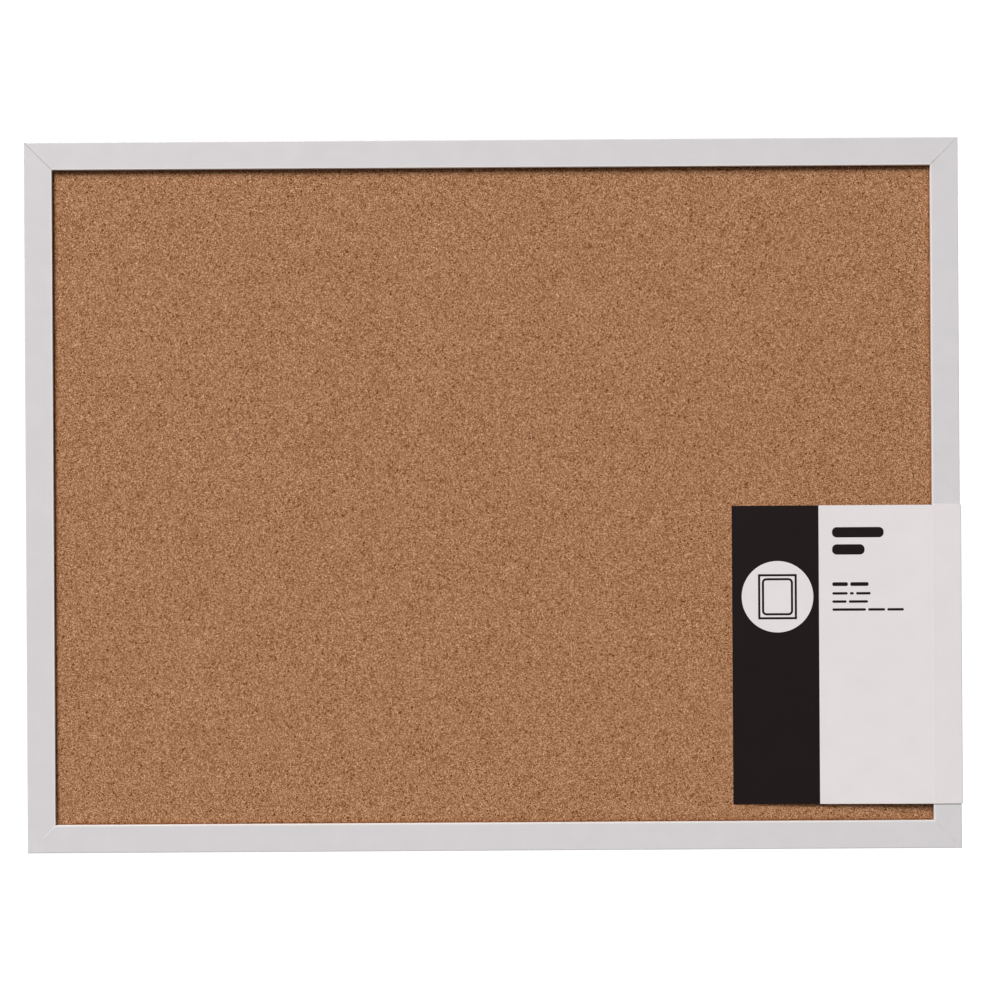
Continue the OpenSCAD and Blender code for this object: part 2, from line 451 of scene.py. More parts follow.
def across_rail(pair, u):
    """A size in mm that changes evenly with u, from the rail's outer to its inner edge."""
    return (pair[0] + (pair[1] - pair[0]) * u / rail_w) * MM


print("corners:", list(MITRES))

# %% Saw the section's two ends


def sawn_end(outline, half_length, mitre, run, side):
    """Two rings of (along, in, deep), where along = side * (half length - u - short(u)).

    In the first ring the section is drawn in by the chamfer; the second ring is the whole
    section, one chamfer back from the end.
    """
    u = outline[:, 0]
    chamfer = across_rail(mitre[run], u)
    drawn_in = np.clip(outline, chamfer[:, None], np.array([lip_u, rail_d]) - chamfer[:, None])
    sawn_u = drawn_in[:, 0]
    sawn = half_length - sawn_u - across_rail(mitre["short"], sawn_u)
    whole = half_length - u - across_rail(mitre["short"], u) - chamfer
    return np.stack([
        np.column_stack([side * sawn, drawn_in]),
        np.column_stack([side * whole, outline]),
    ])


def rail_points(outline, half_length, run, mitre_start, mitre_end):
    """Four rings: a sawn end, the start of its chamfer, and the same at the other end."""
    start = sawn_end(outline, half_length, mitre_start, run, -1)
    end = sawn_end(outline, half_length, mitre_end, run, 1)
    return np.concatenate([start, end[::-1]])


trial = rail_points(rail_outline, half_w, "level", MITRES["top_left"], MITRES["top_right"])
print("a rail has", trial.shape[0], "rings of", trial.shape[1], "points")

# %% Put a rail in its place


def place_rail(local, side):
    """(along, in, deep) to the board: in is measured from that side's outer edge."""
    along, u, deep = local[..., 0], local[..., 1], local[..., 2]
    y = front_y + deep
    return np.stack(
        {
            "top": [along, y, half_h - u],
            "bottom": [along, y, u - half_h],
            "left": [u - half_w, y, along],
            "right": [half_w - u, y, along],
        }[side],
        -1,
    )


# How far the front face goes in at the lower end of a rail's lip.
FACE_SINK = {"left": 0.36 * MM}


def sink_face(local, half_length, sink):
    """Front face goes in by sink * share of the way down * share of the way to the lip."""
    along, u, deep = local[..., 0], local[..., 1], local[..., 2]
    down = (half_length - along) / (2 * half_length)
    front = np.clip(1 - deep / lip_d, 0, 1)
    return np.stack([along, u, deep + sink * down * u / rail_w * front], -1)


print("face goes in, mm:", {side: sink / MM for side, sink in FACE_SINK.items()})

# %% Close the four rails


def make_rail(side, half_length, run, corner_start, corner_end):
    """Outside and chamber as wrapped grids; each sawn end is filled between the two outlines."""
    ends = run, MITRES[corner_start], MITRES[corner_end]
    outer = rail_points(rail_outline, half_length, *ends)
    outer = sink_face(outer, half_length, FACE_SINK.get(side, 0.0))
    inner = rail_points(chamber_outline, half_length, *ends)
    rings, n_outer = outer.shape[:2]
    n_inner = inner.shape[1]
    faces = grid_cells(rings, n_outer, wrap_columns=True)
    faces += grid_cells(rings, n_inner, wrap_columns=True, start=rings * n_outer)
    for ring in (0, rings - 1):
        loops = [[Vector((*p[1:], 0)) for p in points[ring]] for points in (outer, inner)]
        numbers = np.concatenate([
            ring * n_outer + np.arange(n_outer),
            rings * n_outer + ring * n_inner + np.arange(n_inner),
        ])
        faces += [[int(numbers[k]) for k in tri] for tri in tessellate_polygon(loops)]
    local = np.concatenate([outer.reshape(-1, 3), inner.reshape(-1, 3)])
    return make_piece(
        f"rail_{side}", place_rail(local, side), faces, "board",
        [f"frame_rail_{side}"],
    )


rails = [
    make_rail("top", half_w, "level", "top_left", "top_right"),
    make_rail("bottom", half_w, "level", "bottom_left", "bottom_right"),
    make_rail("left", half_h, "upright", "bottom_left", "top_left"),
    make_rail("right", half_h, "upright", "bottom_right", "top_right"),
]
print("rails:", [(r.name, len(r.data.polygons)) for r in rails])

# %% [markdown]
# ## Rail plastic
# The profile is white plastic straight from the die: satin, very even, with drawing lines along
# its length that only show in a low light. Stretched noise makes such lines. The top and bottom
# rails run along X and the side rails along Z, so there are two versions of the finish. The last
# millimetre of the lip's edge before the opening is painted paler, a painted highlight.

# %% Mix the rail plastic
PLASTIC = (0.715, 0.687, 0.701)
LIP_HIGHLIGHT_TINT = (0.870, 0.825, 0.800)
LIP_HIGHLIGHT_WIDTH = 0.9 * MM
ALONG_RAIL = 0.02
DRAWN_SHARE = 0.35


def rail_plastic(name, stretch):
    """Stretch is small along the rail and 1 across it."""
    finish = Finish(name, 0.32)
    lines = finish.add("ShaderNodeMapping", {"Vector": finish.place}, Scale=stretch)
    drawn = finish.noise(2600.0, 3.0, 0.6, lines.outputs["Vector"])
    mottle = finish.noise(90.0, 3.0)
    tone = finish.mix(drawn, mottle, DRAWN_SHARE)
    plain = finish.ramp(tone, [(0.3, *shade(PLASTIC, 0.975)), (0.7, *shade(PLASTIC, 1.025))])
    # Painted highlight: the plastic turns paler over the last millimetre before the opening.
    from_lip = finish.outside_box(opening_x, opening_z)
    off_lip = finish.math("DIVIDE", finish.math("ABSOLUTE", from_lip), LIP_HIGHLIGHT_WIDTH)
    painted_lip_highlight = finish.math("SUBTRACT", 1.0, finish.math("MINIMUM", off_lip, 1.0))
    finish.colour(finish.blend(painted_lip_highlight, plain, LIP_HIGHLIGHT_TINT))
    finish.roughen(mottle, 0.27, 0.38)
    finish.bump(drawn, 0.006 * MM, 0.6)
    return finish


coat(rails[:2], rail_plastic("rail_plastic_level", (ALONG_RAIL, 1, 1)))
coat(rails[2:], rail_plastic("rail_plastic_upright", (1, 1, ALONG_RAIL)))
print("rail plastic on:", [rail.name for rail in rails])

# %% [markdown]
# ## Cork sheet
# The cork is a sheet sliced from a block of glued granules. Its face isn't flat: granules stand a
# few hundredths of a millimetre proud and glue lines fall back. A plane with only a bump map would
# lose that in the mesh, so the face is a grid of heights, closed by four walls and a back. The
# grid gives the unevenness of clumps of granules, and the finish adds the single ones. Along the
# frame the lip bites into the sheet and leaves a narrow crease.

# %% Work out the cork's face
CORK_PITCH = 1.6 * MM
CORK_RELIEF = 0.07 * MM
CREASE_DEPTH = 0.30 * MM
CREASE_WIDTH = 0.8 * MM
CREASE_LINES = np.array([-0.1, 0.25, 0.6, 0.95, 1.3]) * MM
UNDER_LIP = 1.2 * MM


def cork_lines(half_panel, half_opening):
    """Grid lines across the sheet: even, with close lines where the lip meets it."""
    count = int(round(2 * (half_opening - 2 * CREASE_WIDTH) / CORK_PITCH))
    inside = np.linspace(-1, 1, count) * (half_opening - 2 * CREASE_WIDTH)
    beside_lip = half_opening - CREASE_LINES
    under_lip = np.array([half_opening + UNDER_LIP, half_panel])
    edge = np.concatenate([beside_lip, under_lip])
    return np.sort(np.concatenate([-edge, inside, edge]))


def smooth_rows(heights, passes):
    """Averages each height with its four neighbours, 1/2 of itself and 1/8 of each."""
    for _ in range(passes):
        padded = np.pad(heights, 1, mode="edge")
        around = padded[2:, 1:-1] + padded[:-2, 1:-1] + padded[1:-1, 2:] + padded[1:-1, :-2]
        heights = heights / 2 + around / 8
    return heights


cork_x = cork_lines(cork_hi.x, opening_x)
cork_z = cork_lines(cork_hi.z, opening_z)
shape = (len(cork_z), len(cork_x))
print("cork grid:", shape)

# %% Raise the granules and press the crease
dice = np.random.default_rng(7)
single = dice.random(shape)
clumped = smooth_rows(dice.random(shape), 2)
granules = 0.7 * single + 0.9 * clumped
granules = (granules - granules.min()) / np.ptp(granules)

to_lip_x = opening_x - np.abs(cork_x)[None, :]
to_lip_z = opening_z - np.abs(cork_z)[:, None]
to_lip = np.minimum(to_lip_x, to_lip_z)
free = np.clip(to_lip / CREASE_WIDTH, 0, 1)
crease = CREASE_DEPTH * np.sin(math.pi * np.clip(to_lip / CREASE_WIDTH + 0.25, 0, 1)) ** 2
sunk = CORK_RELIEF * granules * free + crease
print("deepest:", round(float(sunk.max()) / MM, 3), "mm")

# %% Close the cork sheet
xx, zz = np.meshgrid(cork_x, cork_z)
face_points = np.stack([xx, cork_y + sunk, zz], -1).reshape(-1, 3)
rows, columns = shape
back_x = cork_x[[0, -1, -1, 0]]
back_z = cork_z[[0, 0, -1, -1]]
back_corners = np.stack([back_x, np.full(4, cork_hi.y), back_z], -1)
numbers = np.arange(rows * columns).reshape(shape)
first_back = rows * columns
rim_runs = [numbers[0], numbers[:, -1], numbers[-1, ::-1], numbers[::-1, 0]]
cork_faces = grid_cells(rows, columns)
for k, run in enumerate(rim_runs):
    cork_faces.append([*run.tolist(), first_back + (k + 1) % 4, first_back + k])
cork_faces.append([first_back + k for k in range(4)])
cork = make_piece(
    "cork_face_sheet", np.concatenate([face_points, back_corners]), cork_faces,
    "board", ["cork_sheet"], crease=60,
)
print("cork sheet:", len(cork.data.polygons), "faces")

# %% [markdown]
# ## Cork finish
# Seen close, agglomerated cork is a packing of granules about half a millimetre across. Each has
# its own brown, with dark glue lines, scattered bits of dark bark and a few pale flecks. A Voronoi
# pattern is such a packing: its cell colour is the granule's tone and the distance to the cell's
# edge is the glue line. Noise pushes the cells out of shape so no straight edge shows.

# %% Push the granules out of shape
PUSH_SCALE = 3000.0
PUSH = 0.4 * MM
cork_finish = Finish("cork_granules", 0.85, specular=0.1)
push = cork_finish.add(
    "ShaderNodeTexNoise", {"Vector": cork_finish.place}, Scale=PUSH_SCALE, Detail=1.0
)
pushed = cork_finish.add(
    "ShaderNodeVectorMath",
    {0: push.outputs["Color"], 2: cork_finish.place},
    {"operation": "MULTIPLY_ADD"},
)
pushed.inputs[1].default_value = (PUSH, PUSH, PUSH)
granule_place = pushed.outputs["Vector"]


def granule(feature, scale):
    """A Voronoi node over the pushed places."""
    return cork_finish.add(
        "ShaderNodeTexVoronoi", {"Vector": granule_place}, {"feature": feature}, Scale=scale
    )


print("granules pushed by up to", PUSH / MM, "mm")

# %% Add up the tone of granules and glue
# The share of the tone that each layer gives.
GRANULE_SHARE = 0.48
FINE_SHARE = 0.62
GLUE_SHARE = 0.12
SLOW_SHARE = 0.04
BASE_TONE = -0.01
CORK_SCALE = 2500.0
GLUE_STEEPNESS = 5.0


def layer(factor, share, below):
    """The tone below plus a share of one more layer."""
    return cork_finish.math("MULTIPLY_ADD", factor, share, below)


cell = granule("F1", CORK_SCALE)
split = cork_finish.add("ShaderNodeSeparateColor", {"Color": cell.outputs["Color"]})
glue = granule("DISTANCE_TO_EDGE", CORK_SCALE).outputs["Distance"]
glue = cork_finish.math("MINIMUM", cork_finish.math("MULTIPLY", glue, GLUE_STEEPNESS), 1.0)
fine = cork_finish.noise(6000.0, 2.0, 0.6)
slow = cork_finish.noise(45.0, 3.0, 0.5)
tone = layer(split.outputs["Red"], GRANULE_SHARE, BASE_TONE)
tone = layer(fine, FINE_SHARE, tone)
tone = layer(glue, GLUE_SHARE, tone)
tone = layer(slow, SLOW_SHARE, tone)
print("granules about", 1 / CORK_SCALE / MM, "mm across")

# %% Add bark, flecks and the painted shade beside the lip
# Bark and flecks are the few granules whose random number is above the limit.
BARK_SCALE = 1500.0
BARK_ABOVE = 0.975
BARK_DARKER = 0.30
FLECK_ABOVE = 0.98
FLECK_LIGHTER = 0.16
LIP_SHADE_DARKER = 0.18
LIP_SHADE_WIDTH = 3.4 * MM

bits = granule("F1", BARK_SCALE).outputs["Color"]
bits = cork_finish.add("ShaderNodeSeparateColor", {"Color": bits})
bark = cork_finish.math("GREATER_THAN", bits.outputs["Green"], BARK_ABOVE)
tone = layer(bark, -BARK_DARKER, tone)
fleck = cork_finish.math("GREATER_THAN", bits.outputs["Blue"], FLECK_ABOVE)
tone = layer(fleck, FLECK_LIGHTER, tone)
# Painted shade: the cork darkens over the last few millimetres before the lip, where the rail meets
# the sheet.
past_lip = cork_finish.outside_box(opening_x, opening_z)
near_lip = cork_finish.math("DIVIDE", past_lip, LIP_SHADE_WIDTH)
near_lip = cork_finish.math("MAXIMUM", cork_finish.math("ADD", near_lip, 1.0), 0.0)
painted_lip_shade = cork_finish.math("POWER", cork_finish.math("MINIMUM", near_lip, 1.0), 2.0)
tone = layer(painted_lip_shade, -LIP_SHADE_DARKER, tone)
print("dirt reaches", round(LIP_SHADE_WIDTH / MM, 2), "mm from the lip")

# %% Colour the cork
CORK_BROWNS = [
    (0.10, 0.045, 0.009, 0.001),
    (0.35, 0.160, 0.051, 0.011),
    (0.56, 0.337, 0.142, 0.055),
    (0.74, 0.538, 0.279, 0.143),
    (0.95, 0.860, 0.545, 0.350),
]
cork_finish.colour(cork_finish.ramp(tone, CORK_BROWNS))
cork_finish.bump(layer(fine, 0.6, glue), 0.09 * MM, 0.7)
cork_finish.roughen(split.outputs["Red"], 0.75, 0.95)
coat([cork], cork_finish)
print("browns from dark to pale:", len(CORK_BROWNS))

# %% [markdown]
# ## Card sleeve
# The sleeve is one strip of coated card. Seen from above, it starts on the cork, rises in a
# straight slope to the rail, lies along the rail's face, folds round its outer side, and ends as
# a rear leaf that leans in to the hardboard. It could be a plane with Solidify, but its top and
# bottom edges show, so its section, a tall thin rectangle, is carried along that path. The band
# of dark ink is a run of whole grid cells, which keeps its edge sharp.

# %% Measure the sleeve
sleeve_lo, sleeve_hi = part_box("card_sleeve")
CARD = 0.45 * MM
REAR_LEAF = 110 * MM
RIDGE = 0.04 * MM
RIDGE_WIDTH = 0.7 * MM
FRONT_CLEAR = 0.01 * MM
LIP_CLEAR = 0.3 * MM
CORK_CLEAR = 0.03 * MM
BACK_CLEAR = 0.05 * MM
BAND_W = 45.5 * MM
card_mid_front = sleeve_lo.y + CARD / 2 + RIDGE + FRONT_CLEAR
card_mid_rear = rear_y + (sleeve_hi.x - half_w) - CARD / 2
card_mid_side = sleeve_hi.x - CARD / 2
fold_r = card_mid_side - half_w
leaf_start = sleeve_lo.x
lip_x = opening_x + LIP_CLEAR
leaf_low_y = cork_y - CARD / 2 - CORK_CLEAR
rear_lip_x = half_w - rear_lip_u
rear_end_x = half_w - REAR_LEAF
rear_low_y = back_hi.y + CARD / 2 + BACK_CLEAR
print("card's front leaf falls", round((leaf_low_y - card_mid_front) / MM, 2), "mm to the cork")

# %% Trace the sleeve's path


def leaf_mid_y(x):
    """Front leaf: a straight rise from the cork to the rail, and a faint ridge where it turns."""
    rise = np.clip((x - leaf_start) / (lip_x - leaf_start), 0, 1)
    ridge = RIDGE * np.exp(-(((x - lip_x) / RIDGE_WIDTH) ** 2))
    return leaf_low_y + (card_mid_front - leaf_low_y) * rise - ridge


def rear_mid_y(x):
    """Rear leaf: flat on the rail's rear lip, then a straight lean in to the hardboard."""
    fall = np.clip((rear_lip_x - x) / (rear_lip_x - rear_end_x), 0, 1)
    return card_mid_rear + (rear_low_y - card_mid_rear) * fall


def quarter(centre, start, steps=8):
    """A quarter turn of the card's middle line about a rail's outer edge."""
    angle = start + np.linspace(0, math.pi / 2, steps)
    return np.stack([centre[0] + fold_r * np.cos(angle), centre[1] + fold_r * np.sin(angle)], -1)


# Cells are closer together for two millimetres on each side of the ridge.
BY_RIDGE = 2 * MM
front_x = np.concatenate([
    np.linspace(leaf_start, leaf_start + BAND_W, 20),
    np.linspace(leaf_start + BAND_W, lip_x - BY_RIDGE, 26)[1:],
    np.linspace(lip_x - BY_RIDGE, lip_x + BY_RIDGE, 21)[1:],
    np.linspace(lip_x + BY_RIDGE, half_w, 8)[1:-1],
])
rear_x = np.concatenate([
    np.linspace(half_w, rear_lip_x, 8)[1:],
    np.linspace(rear_lip_x, rear_end_x, 30)[1:],
])
sleeve_path = np.concatenate([
    np.stack([front_x, leaf_mid_y(front_x)], -1),
    quarter((half_w, front_y), -math.pi / 2),
    quarter((half_w, rear_y), 0.0),
    np.stack([rear_x, rear_mid_y(rear_x)], -1),
])
print("sleeve path:", len(sleeve_path), "points")

# %% Carry the card's section along the path
CARD_ROWS = 14


def path_normals(path):
    """Across the path: the direction of travel turned a quarter turn clockwise."""
    travel = np.gradient(path, axis=0)
    travel /= np.linalg.norm(travel, axis=1)[:, None]
    return np.stack([travel[:, 1], -travel[:, 0]], -1)


across = path_normals(sleeve_path)
outside = sleeve_path + across * CARD / 2
inside = sleeve_path - across * CARD / 2
up = np.linspace(sleeve_lo.z, sleeve_hi.z, CARD_ROWS)
n_path = len(sleeve_path)


def wall_of_card(side, heights):
    """Points (path, height) on one side of the card."""
    xy = np.repeat(side[:, None], len(heights), 1)
    z = np.repeat(heights[None, :, None], n_path, 0)
    return np.concatenate([xy, z], -1)


sleeve_points = np.concatenate([wall_of_card(outside, up), wall_of_card(inside, up[::-1])], 1)
loop = 2 * CARD_ROWS
sleeve_faces = grid_cells(n_path, loop, wrap_columns=True)
for end in (0, n_path - 1):
    edge = end * loop + np.arange(loop)
    for k in range(CARD_ROWS - 1):
        sleeve_faces.append([int(edge[j]) for j in (k, k + 1, loop - 2 - k, loop - 1 - k)])
sleeve = make_piece(
    "card_sleeve_folded", sleeve_points, sleeve_faces, "sleeve",
    ["card_sleeve"],
)
print("sleeve:", len(sleeve.data.polygons), "faces")

# %% [markdown]
# ## Printed card
# Coated card is smooth and almost white, with a faint cloudiness from its fibres. The dark ink is
# a satin layer over the same card. One mesh carries both: the cells of the band take the second
# material.

# %% Mix the card and the ink
CARD_WHITE = (0.816, 0.767, 0.767)
INK = (0.0108, 0.0060, 0.0059)
TOOTH_SHARE = 0.3


def card_stock(name, tint, roughness, specular):
    """Even coated card: a slow cloud in tone, fine tooth in the bump."""
    finish = Finish(name, roughness, specular=specular)
    cloud = finish.noise(60.0, 4.0, 0.6)
    tooth = finish.noise(3000.0, 2.0)
    tone = finish.mix(tooth, cloud, TOOTH_SHARE)
    finish.colour(finish.ramp(tone, [(0.3, *shade(tint, 0.98)), (0.7, *shade(tint, 1.02))]))
    finish.roughen(cloud, roughness - 0.05, roughness + 0.05)
    finish.bump(tooth, 0.004 * MM, 0.5)
    return finish


card_finish = card_stock("card_white", CARD_WHITE, 0.5, 0.4)
ink_finish = card_stock("card_ink", INK, 0.5, 0.2)
print("card stocks:", card_finish.material.name, ink_finish.material.name)

# %% Give the band its ink


def of_faces(mesh, what):
    """One vector for each face, such as its centre or its normal."""
    values = np.empty(len(mesh.polygons) * 3)
    mesh.polygons.foreach_get(what, values)
    return values.reshape(-1, 3)


coat([sleeve], card_finish)
sleeve.data.materials.append(ink_finish.material)
in_band = of_faces(sleeve.data, "center")[:, 0] < leaf_start + BAND_W
faces_front = of_faces(sleeve.data, "normal")[:, 1] < -0.5
inked = in_band & faces_front
sleeve.data.polygons.foreach_set("material_index", inked.astype(np.int32))
print("inked cells:", int(inked.sum()))

# %% [markdown]
# ## Print on the sleeve
# A plain disc with a small picture of a board sits on the band, and plain bars stand where a label
# has its heading and its lines of text. Each printed shape is a thin closed slab that follows the
# leaf: its outline is drawn in millimetres from the leaf's left and upper edges, and the leaf's
# own slope gives the depth.

# %% Draw shapes on the leaf
INK_PROUD = 0.02 * MM
INK_UNDER = 0.06 * MM
leaf_tilt = math.cos(math.atan2(leaf_low_y - card_mid_front, lip_x - leaf_start))
print("the leaf leans", round(math.degrees(math.acos(leaf_tilt)), 2), "degrees")


def on_leaf(flat, lift):
    """(from the left edge, down from the top edge) to the leaf's printed side, lifted off it."""
    x = leaf_start + flat[:, 0]
    y = leaf_mid_y(x) - CARD / 2 / leaf_tilt - lift
    return np.stack([x, y, sleeve_hi.z - flat[:, 1]], -1)


def slab(outline, start=0):
    """Two copies of an outline, one proud of the card and one in it, joined into a solid."""
    n = len(outline)
    points = np.concatenate([on_leaf(outline, INK_PROUD), on_leaf(outline, -INK_UNDER)])
    faces = grid_cells(2, n, wrap_columns=True, start=start)
    faces += [(start + np.arange(n)).tolist(), (start + n + np.arange(n)).tolist()]
    return points, faces


def frame_line(outer, inner, proud, start=0):
    """A closed line between two outlines: four rings, wrapped both ways."""
    rings = [
        on_leaf(outer, proud), on_leaf(inner, proud),
        on_leaf(inner, -INK_UNDER), on_leaf(outer, -INK_UNDER),
    ]
    return np.concatenate(rings), grid_cells(4, len(outer), True, True, start)


def box_outline(left, top, width, height, r):
    """A rounded rectangle from its upper left corner; on the leaf, down is positive."""
    corners = [(left, top), (left + width, top), (left + width, top + height), (left, top + height)]
    return rounded_outline(corners, [r] * 4, lead=0)


def printed(name, shapes, finish):
    """Joins printed shapes into one piece; each shape is a function of its first point number."""
    points, faces = [], []
    for shape_of in shapes:
        shape_points, shape_faces = shape_of(sum(len(p) for p in points))
        points.append(shape_points)
        faces += shape_faces
    piece = make_piece(name, np.concatenate(points), faces, "sleeve")
    coat([piece], finish)
    print(name, len(faces), "faces")


# %% Print the disc and its picture
DISC_X = 23.8 * MM
DISC_Z = 47.85 * MM
DISC_R = 18.75 * MM
LINE = 1.15 * MM
# Width, height and corner radius of the picture's two boxes.
OUTER_BOX = (20.3 * MM, 23.75 * MM, 0.3 * MM)
INNER_BOX = (16.3 * MM, 19.55 * MM, 2.4 * MM)
round_turn = np.linspace(0, 2 * math.pi, 128, endpoint=False)
disc_outline = np.stack([
    DISC_X + DISC_R * np.cos(round_turn), DISC_Z + DISC_R * np.sin(round_turn)
], -1)
printed("print_disc", [lambda start: slab(disc_outline, start=start)], card_finish)


def picture_line(width, height, r):
    """A line of even width round a box about the middle of the disc."""
    left = DISC_X - width / 2
    top = DISC_Z - height / 2
    inner_r = max(r - LINE, 0.1 * MM)
    outer = box_outline(left, top, width, height, r)
    inner = box_outline(left + LINE, top + LINE, width - 2 * LINE, height - 2 * LINE, inner_r)
    return lambda start: frame_line(outer, inner, 2 * INK_PROUD, start)


printed("print_board_picture", [picture_line(*OUTER_BOX), picture_line(*INNER_BOX)], ink_finish)

# %% Print the heading and the lines
# All in millimetres: how far down each row is, then its bars' widths.
TEXT_LEFT = 52.5
HEADING = [(11.5, [27.0]), (20.5, [17.0])]
BOLD_ROW = [(40.4, [8.2, 9.6])]
ROWS = [(45.6, [8.0, 2.0, 7.6]), (49.9, [7.4, 10.0]), (54.1, [17.5, 8.8, 8.6])]
HEADING_H = 5.4
BOLD_H = 2.0
ROW_H = 1.3
WORD_GAP = 1.2


def bar(left, top, width, height):
    """A bar with rounded ends."""
    outline = box_outline(*(MM * v for v in (left, top, width, height, 0.45 * height)))
    return lambda start: slab(outline, start=start)


def bars_in(rows, height):
    """Bars side by side in each row, as wide as words, with a word gap between them."""
    bars = []
    for top, widths in rows:
        lefts = TEXT_LEFT + np.cumsum([0, *(w + WORD_GAP for w in widths[:-1])])
        bars += [bar(left, top, width, height) for left, width in zip(lefts, widths)]
    return bars


heading_bars = bars_in(HEADING, HEADING_H)
small_bars = bars_in(BOLD_ROW, BOLD_H) + bars_in(ROWS, ROW_H)
printed("print_heading_bars", heading_bars, ink_finish)
printed("print_text_bars", small_bars, ink_finish)
print("printed bars:", len(heading_bars) + len(small_bars))

# %% [markdown]
# ## Strap hangers
# A strap is stamped from thin zinc-plated steel: a tab with a round end and a screw hole, rolled
# into a loop at the top. The blank comes first, as a flat sheet: rings round the hole out to the
# tab's edge, and a strip above them. A path through the bend then gives each height its place,
# just as a folding die does, and Solidify and Bevel add the metal's thickness and its soft edges.

# %% Measure the straps
STRAP_T = 0.7 * MM
STRAP_EDGE = 0.12 * MM
HOLE_R = 1.7 * MM
STEP_H = 2.6 * MM
ROLL = 1.72 * math.pi
STRAP_ACROSS = 9
HOLE_RINGS = 4
ring_lo, ring_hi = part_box("hanger_ring_left")
WIRE_R = (ring_hi.y - ring_lo.y) / 2
strap_lo, strap_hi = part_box("hanger_strap_left")
strap_half = (strap_hi.x - strap_lo.x) / 2
hinge_y = (ring_lo.y + ring_hi.y) / 2
hinge_z = ring_hi.z - WIRE_R
loop_r = strap_hi.z - hinge_z - STRAP_T / 2
tab_y = rear_y + STRAP_T / 2
hole_z = strap_lo.z + strap_half
print("strap's loop:", round(loop_r / MM, 2), "mm about a bar of", round(WIRE_R / MM, 2), "mm")

# %% Stamp and roll the straps


def strap_path():
    """Middle line from the hole up: straight, a soft step out, and most of a turn round the bar."""
    straight = np.linspace(strap_half, hinge_z - STEP_H - hole_z, 8)[:-1]
    step_s = np.linspace(0, 1, 8)
    step_y = tab_y + (hinge_y - loop_r - tab_y) * step_s**2 * (3 - 2 * step_s)
    step_z = hinge_z - STEP_H * (1 - step_s)
    turn_by = math.pi - np.linspace(0, ROLL, 40)[1:]
    turn_y = hinge_y + loop_r * np.cos(turn_by)
    turn_z = hinge_z + loop_r * np.sin(turn_by)
    y = np.concatenate([np.full(len(straight), tab_y), step_y, turn_y])
    z = np.concatenate([hole_z + straight, step_z, turn_z])
    return y, z


def make_strap(side, x):
    """Rings r = hole + share * (edge - hole), where the edge is round below and square above."""
    top_v = np.linspace(strap_half, -strap_half, STRAP_ACROSS)
    side_v = np.linspace(0, strap_half, 5)[1:-1]
    top_angle = np.arctan2(strap_half, top_v)
    side_angle = np.arctan2(side_v, strap_half)
    low_angle = np.linspace(math.pi, 2 * math.pi, 24)
    angle = np.concatenate([side_angle, top_angle, (math.pi - side_angle)[::-1], low_angle])
    reach = np.where(
        angle < math.pi,
        strap_half / np.maximum(np.abs(np.cos(angle)), np.abs(np.sin(angle))),
        strap_half,
    )
    share = np.linspace(0, 1, HOLE_RINGS)[:, None]
    r = HOLE_R + share * (reach - HOLE_R)
    tab = np.stack([x + r * np.cos(angle), np.full_like(r, tab_y), hole_z + r * np.sin(angle)], -1)
    path_y, path_z = strap_path()
    strip = np.stack([
        np.repeat(x + top_v[None], len(path_y), 0),
        np.repeat(path_y[:, None], STRAP_ACROSS, 1),
        np.repeat(path_z[:, None], STRAP_ACROSS, 1),
    ], -1)
    faces = grid_cells(HOLE_RINGS, len(angle), wrap_columns=True)
    faces += grid_cells(len(path_y), STRAP_ACROSS, start=HOLE_RINGS * len(angle))
    points = np.concatenate([tab.reshape(-1, 3), strip.reshape(-1, 3)])
    piece = make_piece(
        f"strap_{side}", points, faces, "board", [f"hanger_strap_{side}"], 50
    )
    sheet = piece.modifiers.new("sheet", "SOLIDIFY")
    sheet.thickness = STRAP_T
    sheet.offset = 0
    edges = piece.modifiers.new("soft_edges", "BEVEL")
    edges.width = STRAP_EDGE
    edges.segments = 2
    edges.limit_method = "ANGLE"
    edges.angle_limit = math.radians(50)
    return piece


strap_x = -(strap_lo.x + strap_hi.x) / 2
straps = [make_strap("left", -strap_x), make_strap("right", strap_x)]
print("straps at", round(strap_x / MM, 2), "mm from the middle")

# %% [markdown]
# ## Hanging rings
# A ring is a length of wire bent into a D and hung by its straight bar. One closed path gives its
# middle line: the bar, two small bends, two legs and a half circle. A circle carried round that
# path is the wire. The path lies in one plane, so the circle needs only the direction across the
# path and the direction out of the plane.

# %% Bend the wire
RING_BEND = 1.6 * MM
WIRE_SIDES = 20
ring_half = (ring_hi.x - ring_lo.x) / 2 - WIRE_R


def d_path(x):
    """From the bar's middle to +X, down and round the bow, then the mirror image back up."""
    bend_x = ring_half - RING_BEND
    bend_z = hinge_z - RING_BEND
    bow_z = ring_lo.z + WIRE_R + ring_half

    def quarter_down(cx, cz, r, start, steps):
        a = start - math.pi / 2 * np.linspace(0, 1, steps)
        return np.stack([cx + r * np.cos(a), cz + r * np.sin(a)], -1)

    half = np.concatenate([
        np.stack([np.linspace(0, bend_x, 6)[:-1], np.full(5, hinge_z)], -1),
        quarter_down(bend_x, bend_z, RING_BEND, math.pi / 2, 9),
        np.stack([np.full(4, ring_half), np.linspace(bend_z, bow_z, 6)[1:-1]], -1),
        quarter_down(0, bow_z, ring_half, 0, 17),
    ])
    other = half[1:-1][::-1] * [-1, 1]
    return np.concatenate([half, other]) + [x, 0]


